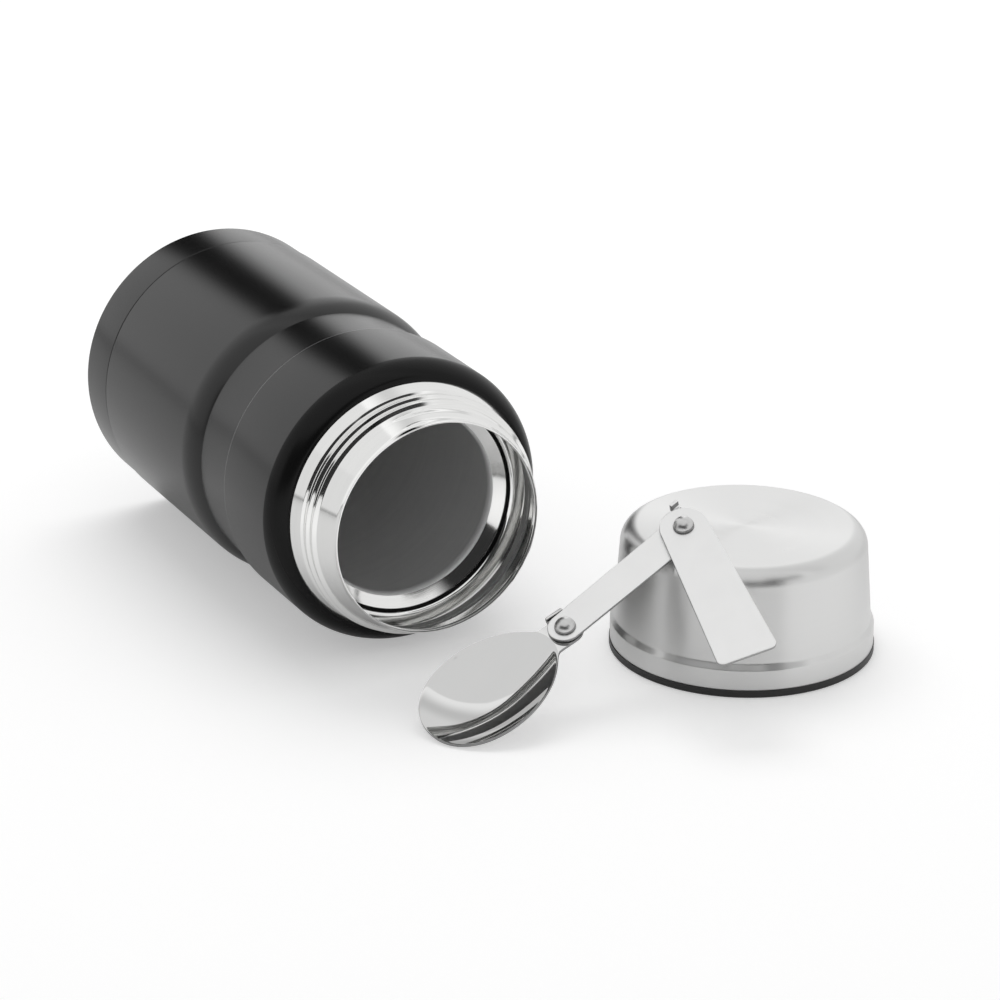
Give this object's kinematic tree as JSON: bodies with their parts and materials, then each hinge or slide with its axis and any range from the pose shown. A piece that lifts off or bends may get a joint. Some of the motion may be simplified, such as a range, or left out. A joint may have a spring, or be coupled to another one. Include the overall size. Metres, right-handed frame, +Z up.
{
  "type": "insulated food jar",
  "caption": "Wide-mouthed vacuum food jar lying on its side, with its screw lid standing beside it and a folding spoon leaning on the lid.",
  "frame": {"origin": "centre of the jar's mouth, on the jar's axis", "axes": "+Y from the mouth to the foot of the jar, which lies on its side; +Z up; +X towards the lid"},
  "size_m": [0.1775, 0.2532, 0.092],
  "materials": {
    "black_lacquer": "satin black lacquer",
    "sheet_steel": "plain rolled sheet",
    "polished_steel": "polished stainless steel",
    "brushed_steel": "brushed round the lid",
    "satin_steel": "fine satin",
    "black_plastic": "moulded, satin",
    "foam": "foamed plastic block",
    "silicone": "translucent silicone",
    "copper_foil": "bright copper foil",
    "getter_metal": "pressed grey powder in a cup",
    "seal_glass": "fired sealing glass"
  },
  "bodies": {
    "jar": {"outer_shell": "black_lacquer", "outer_bottom": "sheet_steel", "base_cap": "black_lacquer", "inner_liner": "polished_steel", "liner_bottom": "sheet_steel", "reflector_foil": "copper_foil", "getter_cup": "getter_metal", "getter_clip": "sheet_steel", "vacuum_seal": "seal_glass"},
    "lid": {"lid_shell": "brushed_steel", "lid_liner": "black_plastic", "lid_insulation": "foam", "lid_gasket": "silicone"},
    "bowl": {"spoon_bowl": "polished_steel"},
    "link": {"spoon_link": "satin_steel", "bowl_rivet": "polished_steel", "handle_rivet": "polished_steel", "bowl_washer": "satin_steel", "handle_washer": "satin_steel"},
    "handle": {"spoon_handle": "satin_steel"}
  },
  "joints": [
    {"name": "lid_lift", "type": "slide", "parent": "jar", "child": "lid", "axis": [0, 0, 1], "range_m": [0, 0.15]},
    {"name": "spoon_lift", "type": "slide", "parent": "lid", "child": "bowl", "axis": [0, 0, 1], "range_m": [0, 0.12]},
    {"name": "link_fold", "type": "hinge", "parent": "bowl", "child": "link", "pos_m": [0.02124, -0.03981, -0.02041], "axis": [0.3335, 0.3034, -0.8926], "range_deg": [0, 186]},
    {"name": "handle_fold", "type": "hinge", "parent": "link", "child": "handle", "pos_m": [0.06571, -0.0316, -0.001], "axis": [-0.3335, -0.3034, 0.8926], "range_deg": [-49, 115]}
  ]
}
